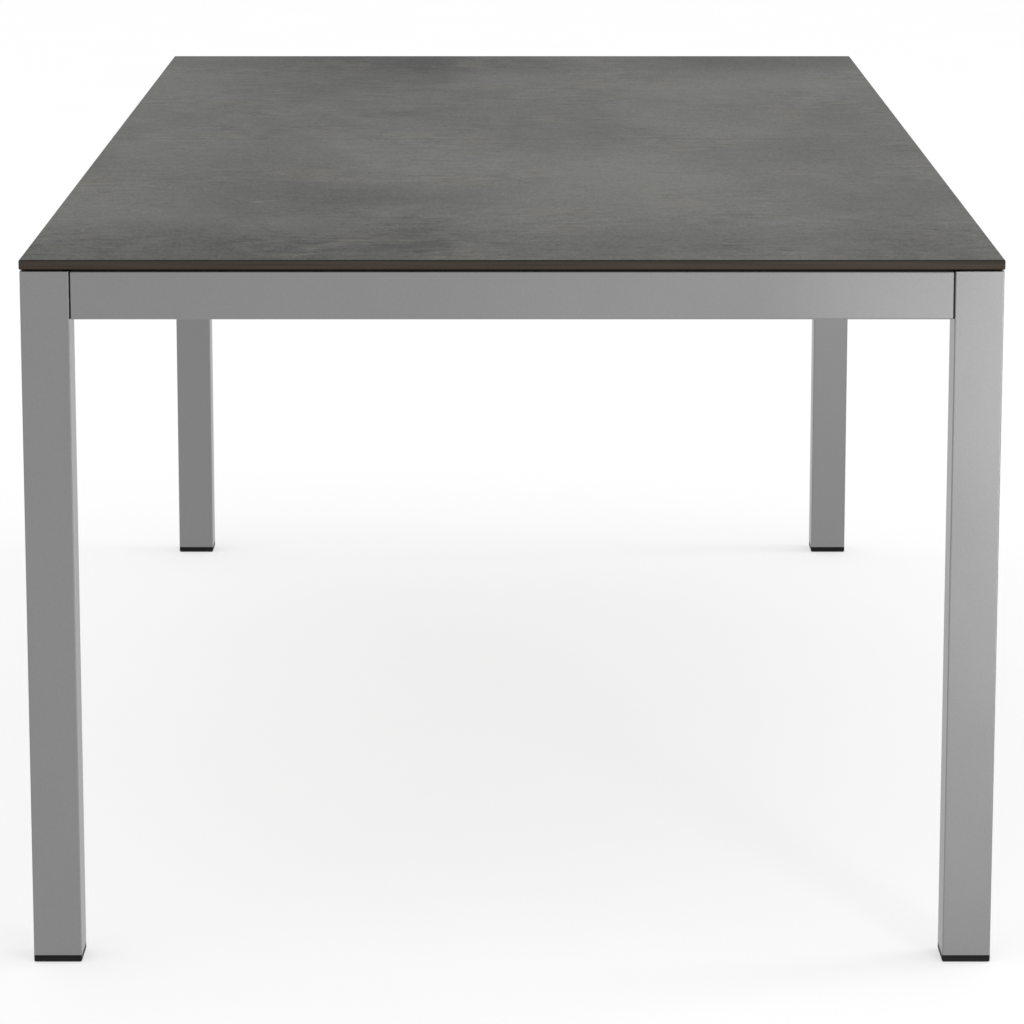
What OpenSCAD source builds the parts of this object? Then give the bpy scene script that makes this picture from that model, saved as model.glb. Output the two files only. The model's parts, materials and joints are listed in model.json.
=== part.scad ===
// Extendable dining table: two leg frames with a split laminate top, joined by a
// telescopic centre frame that carries a self-storing leaf.
// Frame: origin on the floor at the centre of the closed table, X across, Y along, Z up.
// The two halves slide apart evenly from the centre; the rear half mirrors the front one.

/* [Table] */
// Overall width of the top
table_w = 1000; // [900:1:1100]
// Overall length of the closed top
table_l = 2140; // [2060:1:2240]
// Overall height
table_h = 740; // [720:1:760]

/* [Top] */
// Thickness of the laminate panels
top_t = 10; // [10:0.5:11]
// Chamfer on the outer edges of the panels
edge_chamfer = 1; // [0.5:0.1:1.2]
// Chamfer on the edges that meet at a seam
seam_chamfer = 0.3; // [0.2:0.1:0.5]
// Gap between neighbouring panels
seam_gap = 0.4; // [0.2:0.1:0.6]
// Length of the extension leaf
leaf_l = 400; // [396:1:404]

/* [Leg frames] */
// Side of the square legs
leg_w = 50; // [48:1:52]
// Wall of the tubes
wall = 2; // [1.5:0.1:2.5]
// Height of the aprons
apron_h = 49; // [48.5:0.5:49.5]
// Depth of the aprons
apron_d = 30; // [29:0.5:31]
// How far the top stands past the legs
overhang = 0.6; // [0.4:0.1:1.5]
// Shadow gap between frame and top
top_gap = 2; // [1.5:0.1:2.5]
// Thickness of the plastic flange between apron and leg
flange_t = 1.6; // [1:0.1:2]
// Height of the foot cap below the leg
foot_h = 7.5; // [6:0.5:10]
// Corner radius of the tubes
tube_r = 1.5; // [1:0.1:1.8]

/* [Extension] */
// Height of one lift stage: the ramps give one, the cams the other
stage = 12; // [11.5:0.1:12]
// Half length of the centre rails
rail_half = 620; // [600:1:650]
// Side of the square centre rails
rail_w = 16; // [15:0.5:16.5]
// Running clearance of the sliding parts
slide_gap = 0.3; // [0.2:0.1:0.4]
// Radial clearance of pins in bores
pin_gap = 0.06; // [0.04:0.01:0.08]
// Module of the rack and pinion
gear_m = 2; // [2:1:2]
// Teeth of the pinion, an even number
gear_teeth = 18; // [18:2:18]

/* [Hidden] */
frame_x = table_w / 2 - overhang;           // outer face of the legs across
frame_y = table_l / 2 - overhang;           // outer face of the legs along
top_z = table_h - top_t;                    // underside of the top
frame_z = top_z - top_gap;                  // top of legs and aprons
apron_z = frame_z - apron_h;                // underside of the aprons
apron_in_x = frame_x - apron_d;             // inner face of the side aprons
apron_in_y = frame_y - apron_d;             // inner face of the end aprons
leg_in_x = frame_x - leg_w;
leg_in_y = frame_y - leg_w;
tube_in_r = 0.5;                            // inner corner radius of the tubes
plug_depth = 18;                            // how far plugs reach into a tube
plug_play = 0.15;                           // play between a plug and its tube
plug_wall = 2.5;                            // wall of the plugs in the legs
screw_hole_r = 2.5;
screw_hole_l = 9;                           // depth that any screw's hole is cut to
counterbore_r = 4.7;
access_r = 6;                               // holes for a screwdriver

play = 0.3;                                 // play between parts that pass each other
leaf_half = leaf_l / 2;
notch_half = leaf_half + 5;                 // half length of the window for the stored leaf
channel_h = 24;                             // height of the slide channels
notch_z = apron_z + channel_h;              // sill of that window
leaf_z = top_z - 2 * stage;                 // underside of the stored leaf
travel = leaf_half;                         // travel of each half from the centre

side_end = seam_gap / 2 + play;             // inner ends of the side tubes
channel_t = 2;                              // wall of the slide channels
channel_start = 2;
channel_in_x = apron_in_x - 22;             // mouth of the slide channels
channel_end = rail_half + 80;               // outer end of the slide channels
channel_back = apron_in_x - channel_t;      // inner face of the channel's back
rail_out_x = channel_back - channel_t;      // outer face of the centre rails
rail_in_x = rail_out_x - rail_w;
rail_mid_z = apron_z + channel_h / 2;
rail_r = 0.6;                               // corner radius of the centre rails
end_glide_l = 30;
mouth_pad = [5, 40];                        // slide pad at the mouth, distance from the seam
stop_pad = [rail_half - end_glide_l - travel - 16, rail_half - end_glide_l - travel - 1];

brace_w = 40;
brace_h = 25;
brace_z = frame_z - brace_h;
brace_ys = [400, 780];                      // distance of the braces from the seam
top_screw_xs = [-360, -120, 120, 360];      // the panel's screws on each brace
hanger_z = brace_z - 12;                    // seats of the screws of ramps and rack
hanger_screw_l = 15;
screw_pitch = 20;                           // distance between the screws of a pair

bar_y = 70;                                 // centre line of the crossbars
bar_w = 40;
bar_z = apron_z + 11;
bar_t = 7;
bush_r = 6;                                 // bushes of the cradle's guide pins
rack_z = apron_z + 2.5;
rack_t = 7.5;

cradle_x = 400;                             // centre line of the cradle's side bars
cradle_w = 12;
cradle_z = apron_z + 12;
cradle_t = 14;
glide_y = 356;                              // ramp glides, distance from the centre
cradle_end = glide_y + 9;                   // half length of the cradle's side bars
buffer_ys = [-185, -110, 110, 185];
glide_r = 6;
glide_z = cradle_z + 8;
glide_end_x = 435;
ramp_x = 423;                               // inner face of the ramps
ramp_w = 12;
ramp_slope = stage / travel;
cross_y = 120;                              // cross members of the cradle
cross_w = 20;
cross_t = 12;
shaft_y = 165;                              // lift shafts
shaft_z = cradle_z + 6;
shaft_r = 4;
cam_x = 350;
cam_w = 10;
plate_t = 4;                                // wear plates under the leaf
cam_base = leaf_z - plate_t - shaft_z - 0.15;
lever_l = 60;
lever_h = 8;
lever_t = 5;
lever_x = cradle_x + cradle_w / 2 + 4;
pin_r = 4;
leaf_pin_x = 250;
leaf_pin_bite = 5;                          // how far the leaf's pins reach into it
lock_y = 280;                               // clamp levers, distance from the seam
lock_x = (rail_in_x + rail_out_x) / 2;

pitch_r = gear_m * gear_teeth / 2;
rack_back_x = pitch_r + 12;                 // back of the rack
tooth_pitch = PI * gear_m;
dedendum = 1.25 * gear_m;
pressure = 20;
backlash = 0.2;
bracket_t = 3;                              // sheet of the steel brackets
bracket_z = [apron_z + 6, frame_z - 6];
bracket_reach = 54;                         // arms of the corner brackets
bracket_screw = 35;                         // screws in the arms, distance from the leg
bracket_mid_z = apron_z + apron_h / 2;

aluminium = "#9b9c9d";
laminate = "#6e6e6c";
black = "#1c1c1d";
steel = "#b9bcc0";
nylon = "#e6e3da";

// ---- Shared shapes -------------------------------------------------------------------

module block(x, y, z) {
  translate([x[0], y[0], z[0]]) cube([x[1] - x[0], y[1] - y[0], z[1] - z[0]]);
}

// Corner points of a w by h rectangle about the origin, with rounded corners.
function rounded(w, h, r, steps = 4) = [
  for (q = [0 : 3]) for (i = [0 : steps])
    let (a = 90 * q + 90 * i / steps,
         cx = (q == 0 || q == 3 ? 1 : -1) * (w / 2 - r),
         cy = (q < 2 ? 1 : -1) * (h / 2 - r))
    [cx + r * cos(a), cy + r * sin(a)]
];

// Outline of a slab from 0 to w across and 0 to t high, with a chamfer at each end.
function chamfered(w, t, c0, c1) = [
  [c0, 0], [w - c1, 0], [w, c1], [w, t - c1], [w - c1, t], [c0, t], [0, t - c0], [0, c0]
];

module both_sides() {
  children();
  mirror([1, 0, 0]) children();
}

module rear_half() {
  mirror([0, 1, 0]) children();
}

// A bar of that outline along X, its outline's first axis along Y.
module along_x(length) {
  rotate([90, 0, 90]) linear_extrude(length, center = true) children();
}

// A bar of that outline along Y, its outline's first axis along X, running to +Y.
module along_y(length) {
  translate([0, length, 0]) rotate([90, 0, 0]) linear_extrude(length) children();
}

// A laminate panel: chamfer c0 at the low-Y end, c1 at the high-Y end, outer along X.
module laminate_panel(length, c0, c1) {
  intersection() {
    along_y(length) translate([-table_w / 2, 0])
      polygon(chamfered(table_w, top_t, edge_chamfer, edge_chamfer));
    along_x(table_w + 2) polygon(chamfered(length, top_t, c0, c1));
    translate([0, 0, -1]) linear_extrude(top_t + 2) polygon([
      [-table_w / 2 + c0, 0], [table_w / 2 - c0, 0], [table_w / 2, c0],
      [table_w / 2, length - c1], [table_w / 2 - c1, length],
      [-table_w / 2 + c1, length], [-table_w / 2, length - c1], [-table_w / 2, c0]
    ]);
  }
}

// A button-head screw with a hex socket; its head sits on z = 0 and its shank runs to -Z.
module screw(length, r = 2.4, head_r = 4.5, head_h = 2.6) {
  difference() {
    union() {
      translate([0, 0, -length]) cylinder(h = length, r = r, $fn = 32);
      cylinder(h = head_h * 0.5, r = head_r, $fn = 48);
      translate([0, 0, head_h * 0.5])
        cylinder(h = head_h * 0.5, r1 = head_r, r2 = head_r * 0.72, $fn = 48);
    }
    translate([0, 0, head_h * 0.4]) cylinder(h = head_h, r = 1.7, $fn = 6);
  }
}

// ---- Screw places, shared by the screws and their holes ------------------------------

// The six screws of the right-hand corner bracket, each with z = 0 on the bracket's face.
module corner_places() {
  for (dz = [-1, 1] * screw_pitch / 2) {
    translate([leg_in_x - bracket_screw, -apron_in_y + bracket_t, bracket_mid_z + dz])
      rotate([-90, 0, 0]) children();
    translate([apron_in_x - bracket_t, -leg_in_y + bracket_screw, bracket_mid_z + dz])
      rotate([0, -90, 0]) children();
  }
  translate([leg_in_x - bracket_t, -(leg_in_y + apron_in_y) / 2, bracket_mid_z])
    rotate([0, -90, 0]) children();
  translate([(leg_in_x + apron_in_x) / 2, -leg_in_y + bracket_t, bracket_mid_z])
    rotate([-90, 0, 0]) children();
}

// The screws that hold the front panel, z = 0 at the underside of a brace's top wall.
module top_screw_places() {
  for (y = brace_ys, x = top_screw_xs)
    translate([x, -y, frame_z - wall]) rotate([180, 0, 0]) children();
}

// The screws that hold ramps and rack to the inner brace, z = 0 in their counterbore.
module hanger_places() {
  for (x = [-1, 1] * (ramp_x + ramp_w / 2))
    for (dy = [-1, 1] * screw_pitch / 2) translate([x, -brace_ys[0] + dy, hanger_z])
      rotate([180, 0, 0]) children();
}

// The screw that holds a rack to the inner brace, z = 0 in its counterbore.
module rack_place() {
  translate([rack_back_x, -brace_ys[0], hanger_z]) rotate([180, 0, 0]) children();
}

// The hole of a screw whose head sits on z = 0.
module screw_hole(length = screw_hole_l) {
  translate([0, 0, -length]) cylinder(h = length + 1, r = screw_hole_r, $fn = 32);
}

// ---- Leg frames, modelled for the front half -----------------------------------------

module leg_right() {
  color(aluminium)
  difference() {
    translate([frame_x - leg_w / 2, -frame_y + leg_w / 2, foot_h])
      linear_extrude(frame_z - foot_h) difference() {
        polygon(rounded(leg_w, leg_w, tube_r));
        polygon(rounded(leg_w - 2 * wall, leg_w - 2 * wall, tube_in_r, 2));
      }
    corner_places() screw_hole();
  }
}

module leg_left() {
  mirror([1, 0, 0]) leg_right();
}

module leg_plugs() {
  side = leg_w - 2 * wall - 2 * plug_play;
  color(black)
  both_sides() translate([frame_x - leg_w / 2, -frame_y + leg_w / 2, 0]) {
    difference() {
      translate([0, 0, frame_z - plug_depth]) linear_extrude(plug_depth)
        polygon(rounded(side, side, tube_in_r, 2));
      translate([0, 0, frame_z - plug_depth - 1]) linear_extrude(plug_depth - plug_wall + 1)
        polygon(rounded(side - 2 * plug_wall, side - 2 * plug_wall, tube_in_r, 2));
    }
  }
}

module feet() {
  side = leg_w - 2 * wall - 2 * plug_play;
  bevel = 1.5;
  color(black)
  both_sides() translate([frame_x - leg_w / 2, -frame_y + leg_w / 2, 0]) {
    intersection() {
      linear_extrude(foot_h) polygon(rounded(leg_w, leg_w, tube_r));
      translate([0, -leg_w / 2, 0]) along_y(leg_w) foot_section(bevel);
      rotate([0, 0, 90]) translate([0, -leg_w / 2, 0]) along_y(leg_w) foot_section(bevel);
    }
    difference() {
      translate([0, 0, foot_h]) linear_extrude(plug_depth)
        polygon(rounded(side, side, tube_in_r, 2));
      translate([0, 0, foot_h + plug_wall]) linear_extrude(plug_depth)
        polygon(rounded(side - 2 * plug_wall, side - 2 * plug_wall, tube_in_r, 2));
    }
  }
}

// Cross-section of a foot cap: full width above a bevelled lower edge.
module foot_section(bevel) {
  polygon([
    [-leg_w / 2 + bevel, 0], [leg_w / 2 - bevel, 0], [leg_w / 2, bevel],
    [leg_w / 2, foot_h], [-leg_w / 2, foot_h], [-leg_w / 2, bevel]
  ]);
}

module end_apron() {
  length = 2 * (leg_in_x - flange_t);
  color(aluminium)
  difference() {
    translate([0, -frame_y + apron_d / 2, frame_z - apron_h / 2]) along_x(length)
      difference() {
        polygon(rounded(apron_d, apron_h, tube_r));
        polygon(rounded(apron_d - 2 * wall, apron_h - 2 * wall, tube_in_r, 2));
      }
    both_sides() corner_places() screw_hole();
  }
}

// A tube plug: a flange of the tube's outline, from 0 to flange_t, and a hollow spigot
// behind it, both along +Y.
module tube_plug(w, h) {
  inset = 0.4;
  spigot_wall = 1.5;
  w_in = w - 2 * wall - 2 * plug_play;
  h_in = h - 2 * wall - 2 * plug_play;
  along_y(flange_t) polygon(rounded(w - 2 * inset, h - 2 * inset, tube_r));
  translate([0, flange_t, 0]) along_y(plug_depth) difference() {
    polygon(rounded(w_in, h_in, tube_in_r, 2));
    polygon(rounded(w_in - 2 * spigot_wall, h_in - 2 * spigot_wall, tube_in_r, 2));
  }
}

module apron_plugs() {
  color(black)
  both_sides() {
    translate([leg_in_x, -frame_y + apron_d / 2, frame_z - apron_h / 2])
      rotate([0, 0, 90]) tube_plug(apron_d, apron_h);
    translate([frame_x - apron_d / 2, -leg_in_y, frame_z - apron_h / 2])
      tube_plug(apron_d, apron_h);
    translate([frame_x - apron_d / 2, -side_end, apron_z + channel_h / 2])
      rotate([0, 0, 180]) tube_plug(apron_d, channel_h);
  }
}

// Side apron: a tube with a window at the seam end where the stored leaf lies.
module side_apron_right() {
  y0 = -leg_in_y + flange_t;
  y1 = -side_end - flange_t;
  color(aluminium)
  difference() {
    translate([frame_x - apron_d / 2, y0, frame_z - apron_h / 2]) along_y(y1 - y0)
      polygon(rounded(apron_d, apron_h, tube_r));
    block([apron_in_x - 1, frame_x + 1], [-notch_half, 1], [notch_z, frame_z + 1]);
    block([apron_in_x + wall, frame_x - wall], [y0 - 1, -notch_half - wall],
          [apron_z + wall, frame_z - wall]);
    block([apron_in_x + wall, frame_x - wall], [-notch_half - wall - 1, y1 + 1],
          [apron_z + wall, notch_z - wall]);
    corner_places() screw_hole();
  }
}

module side_apron_left() {
  mirror([1, 0, 0]) side_apron_right();
}

// Bracket that hugs the inner corner of leg, end apron and side apron.
module corner_brackets() {
  t = bracket_t;
  color(steel)
  both_sides() difference() {
    translate([0, 0, bracket_z[0]]) linear_extrude(bracket_z[1] - bracket_z[0]) polygon([
      [leg_in_x - bracket_reach, -apron_in_y], [leg_in_x, -apron_in_y], [leg_in_x, -leg_in_y],
      [apron_in_x, -leg_in_y], [apron_in_x, -leg_in_y + bracket_reach],
      [apron_in_x - t, -leg_in_y + bracket_reach], [apron_in_x - t, -leg_in_y + t],
      [leg_in_x - t, -leg_in_y + t], [leg_in_x - t, -apron_in_y + t],
      [leg_in_x - bracket_reach, -apron_in_y + t]
    ]);
    corner_places() screw_hole();
  }
}

module half_screws() {
  panel_bite = 5.5;
  color(steel) {
    both_sides() corner_places() screw(8);
    top_screw_places() screw(wall + top_gap + panel_bite);
    hanger_places() screw(hanger_screw_l);
  }
}

module top_panel() {
  length = table_l / 2 - seam_gap / 2;
  color(laminate)
  difference() {
    translate([0, -table_l / 2, top_z]) laminate_panel(length, edge_chamfer, seam_chamfer);
    top_screw_places() screw_hole(wall + top_gap + 6);
  }
}

// Soft strips along the aprons, pads on the legs and rings round the panel's screws.
module top_spacers() {
  inset = 6;
  ring_r = 10;
  color(black) {
    both_sides() {
      block([frame_x - leg_w + inset, frame_x - inset], [-frame_y + inset, -leg_in_y - inset],
            [frame_z, top_z]);
      block([apron_in_x + inset, frame_x - inset], [-leg_in_y + inset, -notch_half - inset],
            [frame_z, top_z]);
    }
    block([-leg_in_x + inset, leg_in_x - inset], [-frame_y + inset, -apron_in_y - inset],
          [frame_z, top_z]);
    for (y = brace_ys, x = top_screw_xs) translate([x, -y, frame_z]) difference() {
      cylinder(h = top_gap, r = ring_r, $fn = 48);
      translate([0, 0, -1]) cylinder(h = top_gap + 2, r = screw_hole_r, $fn = 32);
    }
  }
}

// Cross brace: a closed tube with holes for the panel's screws.
module brace(y) {
  color(aluminium)
  difference() {
    translate([0, -y, brace_z + brace_h / 2]) along_x(2 * apron_in_x) difference() {
      polygon(rounded(brace_w, brace_h, tube_r));
      polygon(rounded(brace_w - 2 * wall, brace_h - 2 * wall, tube_in_r, 2));
    }
    top_screw_places() screw_hole(wall + 1);
    top_screw_places() translate([0, 0, brace_h - 2 * wall - 1])
      cylinder(h = wall + 2, r = access_r, $fn = 48);
    hanger_places() screw_hole(hanger_screw_l + 1);
    rack_place() screw_hole(hanger_screw_l + 1);
  }
}

// ---- Slides --------------------------------------------------------------------------

module channels(clamped) {
  t = channel_t;
  color(aluminium)
  both_sides() difference() {
    block([channel_in_x, apron_in_x], [-channel_end, -channel_start], [apron_z, notch_z]);
    block([channel_in_x - 1, channel_back], [-channel_end - 1, 1],
          [apron_z + t, notch_z - t]);
    if (clamped) translate([lock_x, -lock_y, apron_z - 1])
      cylinder(h = t + 2, r = pin_r + pin_gap, $fn = 48);
  }
}

// A slide pad that lines a channel on three sides and leaves its mouth open.
module channel_pad(y) {
  difference() {
    block([channel_in_x, channel_back], [-y[1], -y[0]],
          [apron_z + channel_t, notch_z - channel_t]);
    block([channel_in_x - 1, rail_out_x + slide_gap], [-y[1] - 1, -y[0] + 1],
          [rail_mid_z - rail_w / 2 - slide_gap, rail_mid_z + rail_w / 2 + slide_gap]);
  }
}

module channel_pads() {
  color(nylon)
  both_sides() {
    channel_pad(mouth_pad);
    channel_pad(stop_pad);
  }
}

// Ramps: the glides of the cradle climb them as the halves move apart.
module ramps() {
  run_out = 4;
  y0 = -brace_ys[0] - brace_w / 2;
  y1 = y0 + brace_w;
  y_low = -glide_y - glide_r - run_out;
  y_high = -glide_y + travel + 2 * run_out;
  drop = (glide_r + pin_gap) * sqrt(1 + ramp_slope * ramp_slope);
  function ramp_top(y) = glide_z + ramp_slope * (y + glide_y) - drop;
  color(aluminium)
  both_sides() difference() {
    translate([ramp_x + ramp_w / 2, 0, 0]) along_x(ramp_w) polygon([
      [y0, rack_z], [y_high, rack_z], [y_high, ramp_top(y_high)],
      [y_low, ramp_top(y_low)], [y1, ramp_top(y_low)], [y1, brace_z], [y0, brace_z]
    ]);
    hanger_places() screw_hole(hanger_screw_l + 1);
    hanger_places() cylinder(h = 20, r = counterbore_r, $fn = 48);
  }
}

// Rack on the right of the pinion, teeth towards -X, hung from the inner brace.
module rack() {
  root_x = pitch_r + dedendum;
  tip_x = pitch_r - gear_m;
  half_t = (tooth_pitch / 2 - backlash) / 2;
  lean = tan(pressure);
  spare = 2.5;
  first = -4;
  last = round(travel / tooth_pitch + spare);
  lug = [rack_back_x - 8, rack_back_x + 8];
  y0 = -brace_ys[0] - brace_w / 2 + 2;
  y1 = (last + 1.2) * tooth_pitch;
  color(steel)
  difference() {
    union() {
      translate([0, 0, rack_z]) linear_extrude(rack_t) polygon(concat(
        [[rack_back_x, y1], [rack_back_x, y0], [root_x, y0]],
        [for (k = [first : last]) let (c = (k + 0.5) * tooth_pitch) each [
          [root_x, c - half_t - dedendum * lean], [tip_x, c - half_t + gear_m * lean],
          [tip_x, c + half_t - gear_m * lean], [root_x, c + half_t + dedendum * lean]
        ]],
        [[root_x, y1]]
      ));
      block(lug, [y0, y0 + brace_w - 6], [rack_z, brace_z]);
    }
    rack_place() screw_hole(hanger_screw_l + 1);
    rack_place() cylinder(h = 20, r = counterbore_r, $fn = 48);
  }
}

// ---- Centre frame --------------------------------------------------------------------

module centre_rail_right() {
  color(aluminium)
  translate([(rail_in_x + rail_out_x) / 2, -rail_half, rail_mid_z]) along_y(2 * rail_half)
    difference() {
      polygon(rounded(rail_w, rail_w, rail_r, 2));
      polygon(rounded(rail_w - 2 * wall, rail_w - 2 * wall, tube_in_r, 2));
    }
}

module centre_rail_left() {
  mirror([1, 0, 0]) centre_rail_right();
}

module centre_crossbars() {
  color(aluminium)
  for (s = [-1, 1]) difference() {
    block([-rail_in_x, rail_in_x], [s * bar_y - bar_w / 2, s * bar_y + bar_w / 2],
          [bar_z, bar_z + bar_t]);
    for (x = [-1, 1] * cradle_x) translate([x, s * bar_y, bar_z - 1])
      cylinder(h = bar_t + 2, r = bush_r, $fn = 48);
  }
}

module guide_bushes() {
  flange = 2;
  color(nylon)
  for (x = [-1, 1] * cradle_x, y = [-1, 1] * bar_y) translate([x, y, bar_z]) difference() {
    union() {
      translate([0, 0, -flange]) cylinder(h = flange, r = bush_r + 3, $fn = 48);
      cylinder(h = bar_t, r = bush_r, $fn = 48);
    }
    translate([0, 0, -flange - 1]) cylinder(h = bar_t + flange + 2, r = pin_r + pin_gap, $fn = 48);
  }
}

module rail_end_glides() {
  side = channel_h - 2 * channel_t - 2 * slide_gap;
  width = rail_w + 2 * channel_t - 2 * slide_gap;
  color(nylon)
  both_sides() for (s = [-1, 1])
    translate([(rail_in_x + rail_out_x) / 2, s * (rail_half - end_glide_l / 2), rail_mid_z])
      translate([0, -end_glide_l / 2, 0]) along_y(end_glide_l) difference() {
        square([width, side], center = true);
        polygon(rounded(rail_w, rail_w, rail_r, 2));
      }
}

module pinion_bracket() {
  x = [-22, 22];
  y = bar_y - bar_w / 2;
  t = bracket_t;
  color(steel)
  difference() {
    union() {
      block(x, [-y, y], [bar_z, bar_z + t]);
      block(x, [-y, -y + t], [bar_z, bar_z + bar_t]);
      block(x, [y - t, y], [bar_z, bar_z + bar_t]);
    }
    translate([0, 0, bar_z - 1]) cylinder(h = t + 2, r = pin_r, $fn = 48);
  }
}

module pinion_axle() {
  hex_r = 6.5;
  head_h = 2;
  nut_h = 4;
  z = apron_z + play;
  nut_z = bar_z + bracket_t;
  color(steel) {
    translate([0, 0, z]) cylinder(h = head_h, r = hex_r, $fn = 6);
    translate([0, 0, z + head_h]) cylinder(h = nut_z - z - head_h, r = pin_r, $fn = 48);
    translate([0, 0, nut_z]) cylinder(h = nut_h, r = hex_r, $fn = 6);
  }
}

module rack_guides() {
  back = 9;
  lip = 8;
  y = [-bar_y - bar_w / 2, -bar_y + bar_w / 2];
  color(nylon)
  for (a = [0, 180]) rotate([0, 0, a]) {
    block([rack_back_x + slide_gap, rack_back_x + back], y, [apron_z + play, bar_z]);
    block([rack_back_x - lip, rack_back_x + back], y, [apron_z + play, rack_z - slide_gap]);
  }
}

// Involute of the base circle: polar angle from the tooth's middle at radius r.
function involute(a) = tan(a) * 180 / PI - a;
function tooth_angle(r, base_r, half_angle) =
  half_angle + involute(pressure) - involute(acos(min(1, base_r / r)));

module sync_pinion() {
  base_r = pitch_r * cos(pressure);
  tip_r = pitch_r + gear_m;
  root_r = pitch_r - dedendum;
  half_angle = (tooth_pitch / 2 - backlash) / 2 / pitch_r * 180 / PI;
  radii = [for (i = [0 : 5]) base_r + (tip_r - base_r) * i / 5];
  flank = [for (r = radii) [r, tooth_angle(r, base_r, half_angle)]];
  tooth = concat(
    [[root_r, flank[0][1]]], flank,
    [for (i = [5 : -1 : 0]) [flank[i][0], -flank[i][1]]],
    [[root_r, -flank[0][1]]]
  );
  color(nylon)
  difference() {
    translate([0, 0, rack_z]) linear_extrude(rack_t) polygon([
      for (k = [0 : gear_teeth - 1]) for (i = [len(tooth) - 1 : -1 : 0])
        let (a = 360 * k / gear_teeth + tooth[i][1])
        [tooth[i][0] * cos(a), tooth[i][0] * sin(a)]
    ]);
    translate([0, 0, rack_z - 1]) cylinder(h = rack_t + 2, r = pin_r + pin_gap, $fn = 64);
  }
}

// ---- Leaf and its cradle -------------------------------------------------------------

module cradle_side_bars() {
  x = [cradle_x - cradle_w / 2, cradle_x + cradle_w / 2];
  relief = bar_w / 2 + 2;
  color(aluminium)
  both_sides() difference() {
    block(x, [-cradle_end, cradle_end], [cradle_z, cradle_z + cradle_t]);
    for (s = [-1, 1]) {
      block([x[0] - 1, x[1] + 1], [s * bar_y - relief, s * bar_y + relief],
            [cradle_z - 1, bar_z + bar_t + 2 * play]);
      translate([x[0] - 1, s * shaft_y, shaft_z]) rotate([0, 90, 0])
        cylinder(h = cradle_w + 2, r = shaft_r + pin_gap, $fn = 48);
      translate([x[0] - 1, s * glide_y, glide_z]) rotate([0, 90, 0])
        cylinder(h = cradle_w + 2, r = pin_r, $fn = 48);
      translate([cradle_x, s * bar_y, cradle_z - 1])
        cylinder(h = cradle_t + 2, r = pin_r, $fn = 48);
    }
  }
}

module cradle_cross_members() {
  x = cradle_x - cradle_w / 2;
  color(aluminium)
  for (s = [-1, 1]) difference() {
    block([-x, x], [s * cross_y - cross_w / 2, s * cross_y + cross_w / 2],
          [cradle_z + 2, cradle_z + 2 + cross_t]);
    for (lx = [-1, 1] * leaf_pin_x) translate([lx, s * cross_y, cradle_z])
      cylinder(h = cradle_t + 2, r = pin_r + pin_gap, $fn = 48);
  }
}

module cradle_guide_pins() {
  color(steel)
  for (x = [-1, 1] * cradle_x, y = [-1, 1] * bar_y) translate([x, y, apron_z - 1])
    cylinder(h = cradle_z + cradle_t - apron_z + 1, r = pin_r, $fn = 48);
}

module cradle_ramp_glides() {
  x0 = cradle_x - cradle_w / 2;
  x1 = cradle_x + cradle_w / 2;
  color(nylon)
  both_sides() for (s = [-1, 1]) translate([0, s * glide_y, glide_z]) rotate([0, 90, 0]) {
    translate([0, 0, x0]) cylinder(h = cradle_w, r = pin_r, $fn = 48);
    translate([0, 0, x1]) cylinder(h = glide_end_x - x1, r = glide_r, $fn = 64);
  }
}

module leaf_buffers() {
  z = cradle_z + cradle_t;
  color(black)
  for (x = [-1, 1] * cradle_x, y = buffer_ys)
    translate([x, y, z]) cylinder(h = leaf_z - z - 0.1, r = 5, $fn = 48);
}

module leaf_panel() {
  color(laminate)
  difference() {
    translate([0, -leaf_half + seam_gap / 2, leaf_z])
      laminate_panel(leaf_l - seam_gap, seam_chamfer, seam_chamfer);
    for (x = [-1, 1] * leaf_pin_x, y = [-1, 1] * cross_y) translate([x, y, leaf_z - 1])
      cylinder(h = leaf_pin_bite + 1, r = pin_r, $fn = 48);
  }
}

module leaf_wear_plates() {
  size = [24, 44];
  corner = 4;
  color(steel)
  for (x = [-1, 1] * cam_x, y = [-1, 1] * shaft_y)
    translate([x, y, leaf_z - plate_t]) linear_extrude(plate_t)
      polygon(rounded(size[0], size[1], corner));
}

module leaf_guide_pins() {
  z0 = cradle_z - 10;
  z1 = leaf_z + leaf_pin_bite;
  color(steel)
  for (x = [-1, 1] * leaf_pin_x, y = [-1, 1] * cross_y)
    translate([x, y, z0]) cylinder(h = z1 - z0, r = pin_r, $fn = 48);
}

// Outline of a lift cam about its shaft: its reach towards direction a grows evenly by
// one stage over half a turn, so a flat plate above it rises evenly as it turns.
function cam_outline(rate) = concat(
  [for (a = [0 : 10 : 180])
    let (reach = cam_base + rate * a, slope = rate * 180 / PI)
    [reach * sin(a) + slope * cos(a), reach * cos(a) - slope * sin(a)]],
  [for (a = [250 : 10 : 360]) [cam_base * sin(a), cam_base * cos(a)]]
);

// Shaft with two cams and, on its right-hand end, the arm of its hand lever.
module lift_shaft() {
  x0 = -cradle_x - cradle_w / 2 - 4;
  x1 = lever_x + lever_t / 2;
  color(steel)
  translate([0, -shaft_y, shaft_z]) difference() {
    union() {
      translate([x0, 0, 0]) rotate([0, 90, 0]) cylinder(h = x1 - x0, r = shaft_r, $fn = 48);
      for (x = [-1, 1] * cam_x) translate([x, 0, 0]) along_x(cam_w)
        polygon(cam_outline(stage / 180));
      translate([lever_x, 0, 0]) rotate([0, 90, 0])
        cylinder(h = lever_t, r = 2 * shaft_r, $fn = 48);
      block([lever_x, lever_x + lever_t], [-lever_l, 0], [-lever_h / 2, lever_h / 2]);
    }
    translate([lever_x + lever_t, 0, 0]) rotate([0, 90, 0])
      cylinder(h = 4, r = 1.8, center = true, $fn = 6);
  }
}

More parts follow.
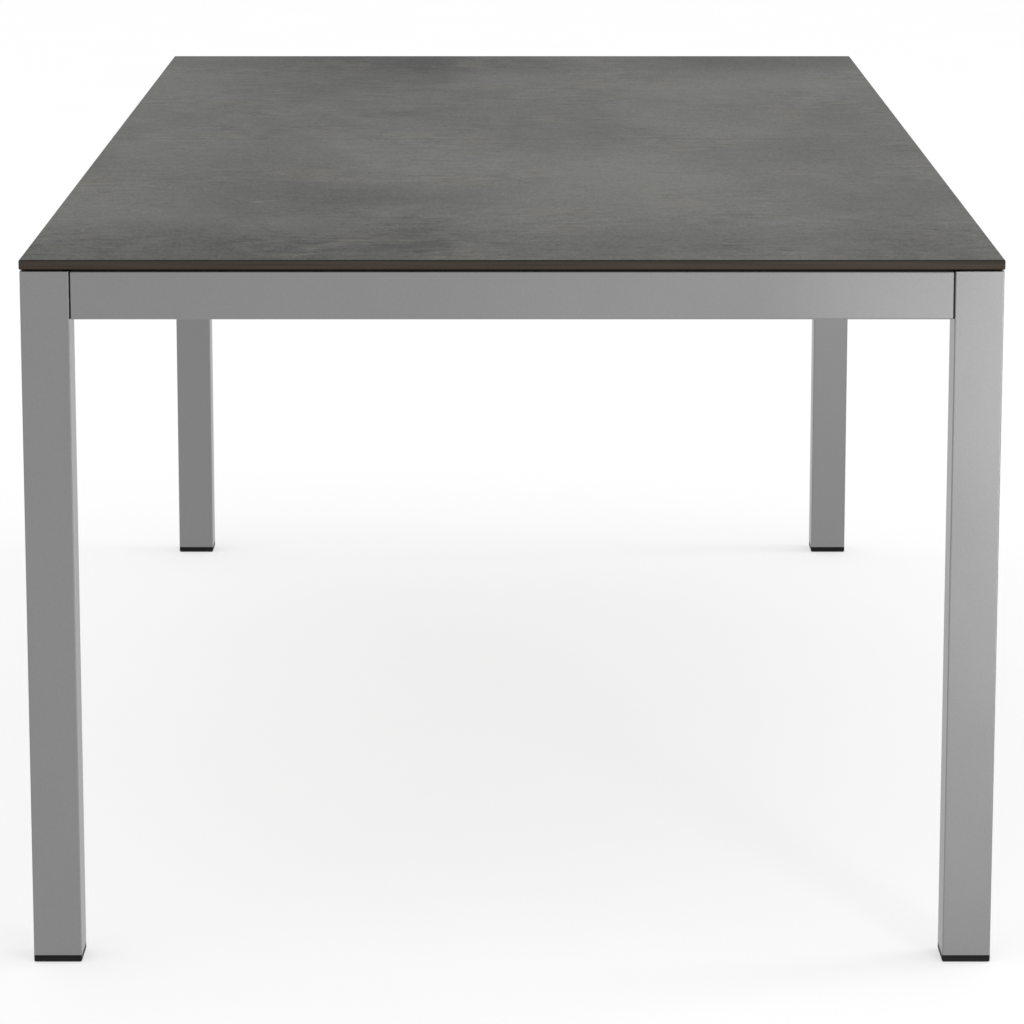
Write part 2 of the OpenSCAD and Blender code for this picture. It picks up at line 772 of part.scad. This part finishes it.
module lever_grip() {
  grip_l = 42;
  end_t = 2;
  color(black)
  translate([lever_x + lever_t / 2, -shaft_y - lever_l - end_t, shaft_z]) difference() {
    along_y(grip_l) polygon(rounded(lever_t + 5, lever_h + 4, 3));
    translate([0, end_t, 0]) along_y(grip_l) square([lever_t, lever_h], center = true);
  }
}

// Clamp lever under a channel: a hub with a hex recess, a tapered arm and a pin whose
// end stops just below the rail.
module lock_lever_right() {
  arm = 66;
  hub_r = 9;
  hub_h = 9;
  tip_r = 6;
  arm_h = 7;
  z = apron_z - hub_h - 0.5;
  pin_z = rail_mid_z - rail_w / 2 - slide_gap;
  color(black)
  translate([lock_x, -lock_y, 0]) {
    difference() {
      union() {
        translate([0, 0, z]) cylinder(h = hub_h, r = hub_r, $fn = 64);
        translate([0, -arm, z + 1]) cylinder(h = arm_h, r = tip_r, $fn = 48);
        translate([0, 0, z + 1]) linear_extrude(arm_h)
          polygon([[-hub_r + 1, 0], [-tip_r, -arm], [tip_r, -arm], [hub_r - 1, 0]]);
      }
      translate([0, 0, z - 1]) cylinder(h = 4, r = 3.2, $fn = 6);
    }
    translate([0, 0, z + hub_h]) cylinder(h = pin_z - z - hub_h, r = pin_r, $fn = 48);
  }
}

module lock_lever_left() {
  mirror([1, 0, 0]) lock_lever_right();
}

// ---- Nodes ---------------------------------------------------------------------------

leg_left();  // front_leg_left
leg_right();  // front_leg_right
leg_plugs();  // front_leg_plugs
feet();  // front_feet
end_apron();  // front_end_apron
apron_plugs();  // front_apron_plugs
side_apron_left();  // front_side_apron_left
side_apron_right();  // front_side_apron_right
corner_brackets();  // front_corner_brackets
union() {  // front_screws
  half_screws();
  color(steel) rack_place() screw(hanger_screw_l);
}
top_panel();  // front_top_panel
top_spacers();  // front_top_spacers
brace(brace_ys[0]);  // front_inner_brace
brace(brace_ys[1]);  // front_outer_brace
channels(true);  // front_channels
channel_pads();  // front_channel_pads
ramps();  // front_ramps
rack();  // front_rack

rear_half() leg_left();  // rear_leg_left
rear_half() leg_right();  // rear_leg_right
rear_half() leg_plugs();  // rear_leg_plugs
rear_half() feet();  // rear_feet
rear_half() end_apron();  // rear_end_apron
rear_half() apron_plugs();  // rear_apron_plugs
rear_half() side_apron_left();  // rear_side_apron_left
rear_half() side_apron_right();  // rear_side_apron_right
rear_half() corner_brackets();  // rear_corner_brackets
union() {  // rear_screws
  rear_half() half_screws();
  color(steel) rotate([0, 0, 180]) rack_place() screw(hanger_screw_l);
}
rear_half() top_panel();  // rear_top_panel
rear_half() top_spacers();  // rear_top_spacers
rotate([0, 0, 180]) brace(brace_ys[0]);  // rear_inner_brace
rotate([0, 0, 180]) brace(brace_ys[1]);  // rear_outer_brace
rear_half() channels(false);  // rear_channels
rear_half() channel_pads();  // rear_channel_pads
rear_half() ramps();  // rear_ramps
rotate([0, 0, 180]) rack();  // rear_rack

centre_rail_left();
centre_rail_right();
centre_crossbars();
rail_end_glides();
guide_bushes();
pinion_bracket();
pinion_axle();
rack_guides();
sync_pinion();
cradle_side_bars();
cradle_cross_members();
cradle_guide_pins();
cradle_ramp_glides();
leaf_buffers();
leaf_panel();
leaf_wear_plates();
leaf_guide_pins();
lift_shaft();  // front_lift_shaft
lever_grip();  // front_lever_grip
rear_half() lift_shaft();  // rear_lift_shaft
rear_half() lever_grip();  // rear_lever_grip
lock_lever_left();
lock_lever_right();
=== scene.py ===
import json
import math

import bpy
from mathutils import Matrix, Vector


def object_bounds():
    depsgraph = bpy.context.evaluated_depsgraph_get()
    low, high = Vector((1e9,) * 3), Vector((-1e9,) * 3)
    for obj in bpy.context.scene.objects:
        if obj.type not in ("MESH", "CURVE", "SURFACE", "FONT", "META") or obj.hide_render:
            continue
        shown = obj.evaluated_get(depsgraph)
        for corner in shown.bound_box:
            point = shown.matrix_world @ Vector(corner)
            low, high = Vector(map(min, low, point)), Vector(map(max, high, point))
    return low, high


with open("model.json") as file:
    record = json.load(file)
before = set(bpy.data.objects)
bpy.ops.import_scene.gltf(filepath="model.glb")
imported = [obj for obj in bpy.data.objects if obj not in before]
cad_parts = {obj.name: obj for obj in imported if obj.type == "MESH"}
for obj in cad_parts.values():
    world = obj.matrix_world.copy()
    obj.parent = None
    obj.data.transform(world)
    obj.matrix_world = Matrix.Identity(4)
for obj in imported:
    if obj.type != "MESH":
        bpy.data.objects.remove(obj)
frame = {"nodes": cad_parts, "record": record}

cad_low, cad_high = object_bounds()

LENGTH = cad_high.y - cad_low.y
FRONT = cad_low.y                   # the short end that the camera sees

# ---- Settings ------------------------------------------------------------------------

CAMERA_BACK = 4.4925                # in front of the top's front edge
CAMERA_HEIGHT = 1.380
CAMERA_PITCH = math.radians(11.33)  # looking down
LENS = 157.3                        # millimetres

HORIZON = 1.0                       # brightness of the white surroundings
ZENITH = 0.75
SIDE_POWER = 165                    # watts
STRIP_POWER = 2.5
FLOOR_GLOW = 0.58
CLOUD_SHIFT = (26, 2, 0)            # picks the layout of the laminate's large clouds


# ---- Camera --------------------------------------------------------------------------

def add_camera():
    cam = bpy.data.objects.new("camera", bpy.data.cameras.new("camera"))
    cam.data.sensor_width = 36
    cam.data.lens = LENS
    cam.data.clip_start = 0.1
    cam.data.clip_end = 100
    cam.location = (0, FRONT - CAMERA_BACK, CAMERA_HEIGHT)
    cam.rotation_euler = (math.pi / 2 - CAMERA_PITCH, 0, 0)
    bpy.context.collection.objects.link(cam)
    bpy.context.scene.camera = cam


# ---- Node helpers --------------------------------------------------------------------

class Shader:
    """A material being built: makes nodes, and links or sets their inputs."""

    def __init__(self, name):
        self.material = bpy.data.materials.new(name)
        self.material.use_nodes = True
        self.tree = self.material.node_tree
        self.surface = self.tree.nodes["Principled BSDF"]
        self.place = self.node("ShaderNodeTexCoord").outputs["Object"]

    def node(self, kind, inputs=None, **settings):
        n = self.tree.nodes.new(kind)
        for key, value in settings.items():
            setattr(n, key, value)
        for key, value in (inputs or {}).items():
            self.put(n.inputs[key], value)
        return n

    def put(self, socket, value):
        if isinstance(value, bpy.types.NodeSocket):
            self.tree.links.new(value, socket)
        else:
            socket.default_value = value

    def set(self, **values):
        for key, value in values.items():
            self.put(self.surface.inputs[key.replace("_", " ")], value)

    def stretched(self, x, y, z, shift=(0, 0, 0)):
        """The object's coordinates in metres, scaled along each axis and shifted."""
        return self.node("ShaderNodeMapping", {
            "Vector": self.place, "Location": shift, "Scale": (x, y, z)}).outputs[0]

    def noise(self, place, scale=1.0, detail=4.0, rough=0.55, distortion=0.0):
        return self.node("ShaderNodeTexNoise", {
            "Vector": place, "Scale": scale, "Detail": detail, "Roughness": rough,
            "Distortion": distortion}).outputs["Fac"]

    def spread(self, value, low, high, to_low, to_high, smooth=False):
        """Maps low..high to to_low..to_high, held at the ends."""
        kind = "SMOOTHSTEP" if smooth else "LINEAR"
        return self.node("ShaderNodeMapRange", {
            "Value": value, "From Min": low, "From Max": high, "To Min": to_low,
            "To Max": to_high}, interpolation_type=kind).outputs[0]

    def math(self, operation, *values):
        n = self.node("ShaderNodeMath", operation=operation)
        for socket, value in zip(n.inputs, values):
            self.put(socket, value)
        return n.outputs[0]

    def mix(self, factor, a, b):
        n = self.node("ShaderNodeMix", data_type="RGBA")
        self.put(n.inputs["Factor"], factor)
        self.put(n.inputs[6], a)
        self.put(n.inputs[7], b)
        return n.outputs[2]

    def bump(self, height, distance, strength=1.0, normal=None):
        n = self.node("ShaderNodeBump", {
            "Height": height, "Distance": distance, "Strength": strength})
        if normal is not None:
            self.put(n.inputs["Normal"], normal)
        return n.outputs[0]


def srgb(red, green, blue):
    """A linear colour from sRGB levels of 0 to 255."""
    levels = [level / 255 for level in (red, green, blue)]
    return tuple(v / 12.92 if v <= 0.04045 else ((v + 0.055) / 1.055) ** 2.4 for v in levels) + (1,)


def grey(level):
    return srgb(level, level, level)


# ---- Materials -----------------------------------------------------------------------

def add_up(s, values):
    """The sum of a list of values."""
    total = values[0]
    for value in values[1:]:
        total = s.math("ADD", total, value)
    return total


def slate_decor(s, patch, streak, fine):
    """The print: clouds with a darker band, and worn patches with streaks and marks; both ends get
    painted shade.
    """
    cloud = s.noise(s.stretched(3.2, 1.7, 30, CLOUD_SHIFT), 1, 3, 0.5, 0.2)
    mottle = s.noise(s.stretched(34, 44, 30), 1, 5, 0.7)
    scratch = s.noise(s.stretched(9, 420, 30), 1, 2, 0.5)
    mark = s.noise(s.stretched(70, 130, 30), 1, 3, 0.6)
    speck = s.noise(s.place, 700, 2, 0.5)
    worn = s.spread(s.noise(s.stretched(5, 4, 30), 1, 3, 0.6), 0.42, 0.62, 0.15, 1, smooth=True)

    # a darker band in the print runs along the table, left of its middle, and both ends are darkened
    # with painted shade
    axes = s.node("ShaderNodeSeparateXYZ", {"Vector": s.place}).outputs
    ragged = s.spread(patch, 0.3, 0.7, -0.06, 0.06)
    band_x = s.spread(cloud, 0.3, 0.7, 0.18, 0.34)
    off_band = s.math("ABSOLUTE", add_up(s, [axes["X"], ragged, band_x]))
    along = s.math("ADD", s.math("ABSOLUTE", axes["Y"]), ragged)
    tones = [
        s.spread(off_band, 0.02, 0.22, -0.09, 0.24, smooth=True),
        # painted shade: the top darkens towards both ends, standing in for the light falling off
        # there
        s.spread(along, 0.45 * LENGTH, 0.35 * LENGTH, -0.33, 0, smooth=True),
    ]
    layers = ((cloud, 0.36), (patch, 0.2), (mottle, 0.08), (fine, 0.44), (speck, 0.26))
    tones += [s.spread(noise, 0.3, 0.7, -share, share) for noise, share in layers]
    worn_layers = (
        s.spread(mottle, 0.3, 0.7, -0.24, 0.24),
        s.spread(streak, 0.3, 0.7, -0.33, 0.33),
        s.spread(scratch, 0.6, 0.7, 0, 0.5),
        s.spread(mark, 0.64, 0.7, 0, -1.0),
    )
    tones += [s.math("MULTIPLY", layer, worn) for layer in worn_layers]
    shade = s.spread(add_up(s, tones), -0.9, 0.9, 0, 1)
    warmth = s.math("MULTIPLY", s.spread(patch, 0.5, 0.7, 0, 0.35), worn)
    return s.mix(warmth, s.mix(shade, srgb(58, 59, 59), srgb(125, 125, 121)), srgb(120, 116, 103))


def with_hairlines(s, decor, patch):
    """Adds thin bent lines that fade in and out, pale ones and dark ones."""
    bend = s.node("ShaderNodeTexNoise", {"Vector": s.place, "Scale": 3.0, "Detail": 5.0})
    wander = s.node("ShaderNodeVectorMath", {0: bend.outputs["Color"], 1: (0.5, 0.5, 0.5)},
                    operation="MULTIPLY")
    bent = s.node("ShaderNodeVectorMath", {0: s.place, 1: wander.outputs[0]}, operation="ADD")
    for scale, width, share, colour in ((4.5, 0.012, 0.6, grey(128)), (7.0, 0.011, 0.4, grey(48))):
        cells = s.node("ShaderNodeTexVoronoi", {"Vector": bent.outputs[0], "Scale": scale},
                       feature="DISTANCE_TO_EDGE")
        line = s.spread(cells.outputs["Distance"], 0, width, 1, 0, smooth=True)
        present = s.spread(patch, 0.52, 0.64, 0, share)
        decor = s.mix(s.math("MULTIPLY", line, present), decor, colour)
    return decor


def laminate_material():
    """Slate-look laminate: a printed face over a brown-black core."""
    s = Shader("slate_laminate")
    patch = s.noise(s.stretched(13, 9, 30), 1, 4, 0.6, 0.3)
    streak = s.noise(s.stretched(20, 170, 30), 1, 4, 0.6, 0.3)
    fine = s.noise(s.stretched(300, 130, 260), 1, 4, 0.7)
    decor = with_hairlines(s, slate_decor(s, patch, streak, fine), patch)

    # the print is a thin sheet: the core shows on every edge, and the chamfers are made darker still
    # with painted shade
    facing = s.node("ShaderNodeNewGeometry").outputs["True Normal"]
    upward = s.math("ABSOLUTE", s.node("ShaderNodeSeparateXYZ", {"Vector": facing}).outputs["Z"])
    sheets = s.noise(s.stretched(6, 6, 900), 1, 3, 0.5)
    core = s.mix(s.spread(sheets, 0.35, 0.65, 0, 1), srgb(54, 48, 42), srgb(66, 58, 51))
    # painted shade: faces tilted between the edge and the top or bottom (the chamfers) get a darker
    # brown than the core
    core = s.mix(s.spread(upward, 0.3, 0.6, 0, 1), core, srgb(40, 37, 34))
    s.set(Base_Color=s.mix(s.spread(upward, 0.9, 0.99, 0, 1), core, decor))

    dull = s.math("ADD", s.spread(patch, 0.3, 0.7, 0.5, 0.6), s.spread(fine, 0.3, 0.7, -0.03, 0.03))
    s.set(Roughness=dull, Specular_IOR_Level=0.06)
    relief = s.math("ADD", s.math("MULTIPLY", streak, 0.5), s.math("MULTIPLY", fine, 0.5))
    pits = s.noise(s.place, 1500, 2, 0.5)
    rough = s.bump(pits, 0.00004, 0.5)
    s.set(Normal=s.bump(relief, 0.00012, 0.6, rough))
    return s.material


def powder_coat_material():
    """Satin silver powder coat: orange peel, metallic flakes, rubbed edges, slight unevenness."""
    s = Shader("silver_powder_coat")
    uneven = s.noise(s.place, 5, 3, 0.5)
    flakes = s.noise(s.place, 2600, 2, 0.6)
    grain = s.noise(s.place, 420, 3, 0.7)
    layers = ((uneven, 0.2), (flakes, 0.4), (grain, 0.4))
    tone = add_up(s, [s.spread(noise, 0.3, 0.7, -share, share) for noise, share in layers])
    edges = s.node("ShaderNodeNewGeometry").outputs["Pointiness"]
    rub = s.spread(edges, 0.52, 0.6, 0, 0.35, smooth=True)
    paint = s.mix(s.spread(tone, -0.8, 0.8, 0, 1), grey(116), grey(132))
    s.set(Base_Color=s.mix(rub, paint, grey(148)))
    peel = s.noise(s.place, 700, 2, 0.5)
    s.set(Metallic=0.8, Roughness=s.spread(uneven, 0.3, 0.7, 0.32, 0.37))
    s.set(Normal=s.bump(peel, 0.00006, 0.5))
    return s.material


def extrusion_material(name, grain):
    """Plain extruded aluminium; grain is how close its die lines are along each axis."""
    s = Shader(name)
    lines = s.noise(s.stretched(*grain), 1, 3, 0.6)
    stain = s.noise(s.place, 12, 4, 0.6)
    tone = s.math("ADD", s.spread(lines, 0.3, 0.7, -0.3, 0.3), s.spread(stain, 0.3, 0.7, -0.3, 0.3))
    s.set(Base_Color=s.mix(s.spread(tone, -0.6, 0.6, 0, 1), grey(138), grey(166)))
    s.set(Metallic=0.9, Roughness=s.spread(tone, -0.6, 0.6, 0.34, 0.5))
    s.set(Normal=s.bump(lines, 0.00003, 0.5))
    return s.material


def zinc_material(name, grain):
    """Zinc-plated steel with a faint crystal pattern; grain is how close its streaks are."""
    s = Shader(name)
    spangle = s.node("ShaderNodeTexVoronoi", {"Vector": s.place, "Scale": 260.0}).outputs["Color"]
    level = s.node("ShaderNodeSeparateColor", {"Color": spangle}).outputs[0]
    streak = s.noise(s.stretched(*grain), 1, 3, 0.6)
    tone = s.math("ADD", s.math("MULTIPLY", level, 0.35), s.spread(streak, 0.3, 0.7, 0, 0.65))
    s.set(Base_Color=s.mix(tone, grey(142), grey(180)), Metallic=1.0)
    s.set(Roughness=s.spread(tone, 0, 1, 0.26, 0.42))
    s.set(Normal=s.bump(streak, 0.00002, 0.5))
    return s.material


def black_material(name, dark, light, roughness, grain):
    """Black plastic or rubber with a moulded grain and rubbed edges."""
    s = Shader(name)
    haze = s.noise(s.place, 40, 4, 0.6)
    dots = s.noise(s.place, grain, 2, 0.5)
    edges = s.node("ShaderNodeNewGeometry").outputs["Pointiness"]
    rub = s.spread(edges, 0.52, 0.6, 0, 0.4, smooth=True)
    body = s.mix(s.spread(haze, 0.3, 0.7, 0, 1), grey(dark), grey(light))
    s.set(Base_Color=s.mix(rub, body, grey(light + 16)))
    s.set(Roughness=s.spread(haze, 0.3, 0.7, roughness - 0.05, roughness + 0.06))
    s.set(Normal=s.bump(dots, 0.00006, 0.6), Specular_IOR_Level=0.15)
    return s.material


def nylon_material():
    """Natural nylon, slightly translucent, with a fine moulding haze."""
    s = Shader("natural_nylon")
    haze = s.noise(s.place, 60, 4, 0.6)
    fine = s.noise(s.place, 1200, 2, 0.5)
    s.set(Base_Color=s.mix(s.spread(haze, 0.3, 0.7, 0, 1), srgb(194, 189, 180), srgb(212, 207, 198)))
    s.set(Roughness=s.spread(haze, 0.3, 0.7, 0.38, 0.5), Subsurface_Weight=0.08)
    s.set(Subsurface_Scale=0.002, Normal=s.bump(fine, 0.00004, 0.4))
    return s.material


def paint_nodes():
    """Gives every node the material of its slot, with the grain along the piece."""
    looks = {
        "laminate": laminate_material(),
        "frame_aluminium": powder_coat_material(),
        "mill_aluminium": extrusion_material("mill_aluminium", (900, 3, 900)),
        "zinc_steel": zinc_material("zinc_steel", (60, 900, 900)),
        "black_plastic": black_material("black_plastic", 10, 16, 0.55, 1400),
        "soft_black": black_material("soft_black_rubber", 22, 28, 0.75, 700),
        "nylon": nylon_material(),
    }
    crosswise = extrusion_material("mill_aluminium_crosswise", (3, 900, 900))
    lengthwise = zinc_material("zinc_steel_lengthwise", (900, 60, 900))
    turned = {"centre_crossbars": crosswise, "cradle_cross_members": crosswise,
              "front_rack": lengthwise, "rear_rack": lengthwise}
    slots = {row["node"]: row["material_slot"] for row in frame["record"]["subparts"]}
    for name, piece in frame["nodes"].items():
        piece.data.materials.clear()
        piece.data.materials.append(turned.get(name, looks[slots[name]]))


# ---- Surroundings --------------------------------------------------------------------

def add_floor():
    """A wide pale floor, which glows a little so that the shadow under the table stays soft."""
    half = 60
    below_feet = 0.0005
    mesh = bpy.data.meshes.new("floor")
    mesh.from_pydata([(-half, -half, 0), (half, -half, 0), (half, half, 0), (-half, half, 0)],
                     [], [(0, 1, 2, 3)])
    floor = bpy.data.objects.new("floor", mesh)
    floor.location.z = -below_feet
    bpy.context.collection.objects.link(floor)
    s = Shader("floor")
    mottle = s.noise(s.place, 3, 3, 0.5)
    s.set(Base_Color=s.mix(mottle, grey(186), grey(190)), Roughness=0.9, Specular_IOR_Level=0.1)
    s.set(Emission_Color=(1, 1, 1, 1), Emission_Strength=FLOOR_GLOW)
    floor.data.materials.append(s.material)


def add_area_light(name, place, aim, size, power, spread=180):
    light = bpy.data.lights.new(name, "AREA")
    light.shape = "RECTANGLE"
    light.spread = math.radians(spread)
    light.size, light.size_y = size
    light.energy = power
    lamp = bpy.data.objects.new(name, light)
    lamp.location = place
    lamp.rotation_euler = (Vector(aim) - Vector(place)).to_track_quat("-Z", "Y").to_euler()
    lamp.visible_camera = False
    bpy.context.collection.objects.link(lamp)


def add_lights():
    """White surroundings, a large light on the right and a small one near the right front leg."""
    world = bpy.data.worlds.new("studio")
    world.use_nodes = True
    tree = world.node_tree
    direction = tree.nodes.new("ShaderNodeTexCoord").outputs["Generated"]
    height = tree.nodes.new("ShaderNodeSeparateXYZ")
    fade = tree.nodes.new("ShaderNodeMapRange")
    fade.inputs["From Max"].default_value = 0.7
    fade.inputs["To Min"].default_value = HORIZON
    fade.inputs["To Max"].default_value = ZENITH
    sky = tree.nodes["Background"]
    sky.inputs["Color"].default_value = (1, 1, 1, 1)
    tree.links.new(direction, height.inputs["Vector"])
    tree.links.new(height.outputs["Z"], fade.inputs["Value"])
    tree.links.new(fade.outputs["Result"], sky.inputs["Strength"])
    bpy.context.scene.world = world
    bpy.context.scene.view_settings.view_transform = "Standard"
    add_area_light("side", (6, 1.0, 1.2), (0, 0, 0.4), (2.4, 5), SIDE_POWER)
    add_area_light("strip", (1.05, FRONT - 1.5, 0.5), (0.1, FRONT, 0.4), (0.25, 1.0),
                   STRIP_POWER, spread=75)


add_camera()
add_floor()
add_lights()
paint_nodes()
